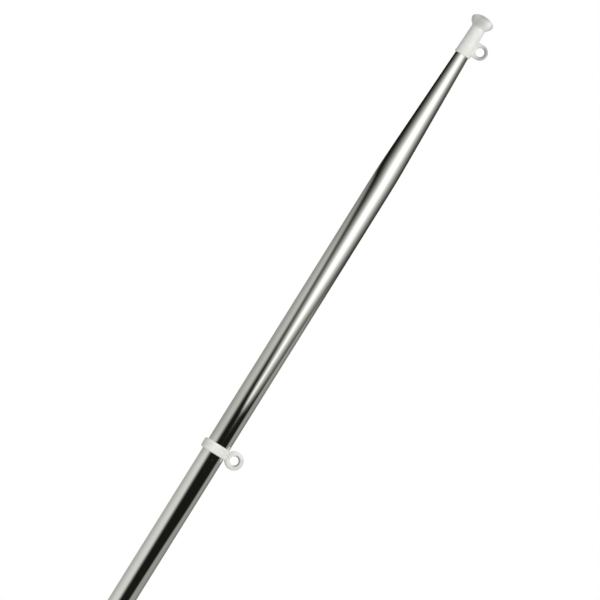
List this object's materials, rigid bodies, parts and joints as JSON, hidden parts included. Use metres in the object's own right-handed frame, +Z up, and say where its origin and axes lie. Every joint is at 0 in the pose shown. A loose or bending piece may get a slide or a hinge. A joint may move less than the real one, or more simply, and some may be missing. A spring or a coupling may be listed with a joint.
{
  "type": "boat flagstaff with halyard ring",
  "caption": "Polished steel staff with a tapered top, a moulded cap with a line eye, and a sliding ring with an eye, for flying a small flag.",
  "frame": {"origin": "centre of the foot's flat underside, on the staff's axis", "axes": "+Z up along the staff, +X towards both line eyes, so the eyes' holes run along Y"},
  "size_m": [0.0475, 0.0312, 0.8008],
  "materials": {
    "steel": "polished",
    "nylon": "satin"
  },
  "bodies": {
    "pole": {"pole_tube": "steel", "foot_plug": "nylon", "truck": "nylon"},
    "ring": {"halyard_ring": "nylon"}
  },
  "joints": [
    {"name": "ring_slide", "type": "slide", "parent": "pole", "child": "ring", "axis": [0, 0, 1], "range_m": [-0.19, 0.31]}
  ]
}
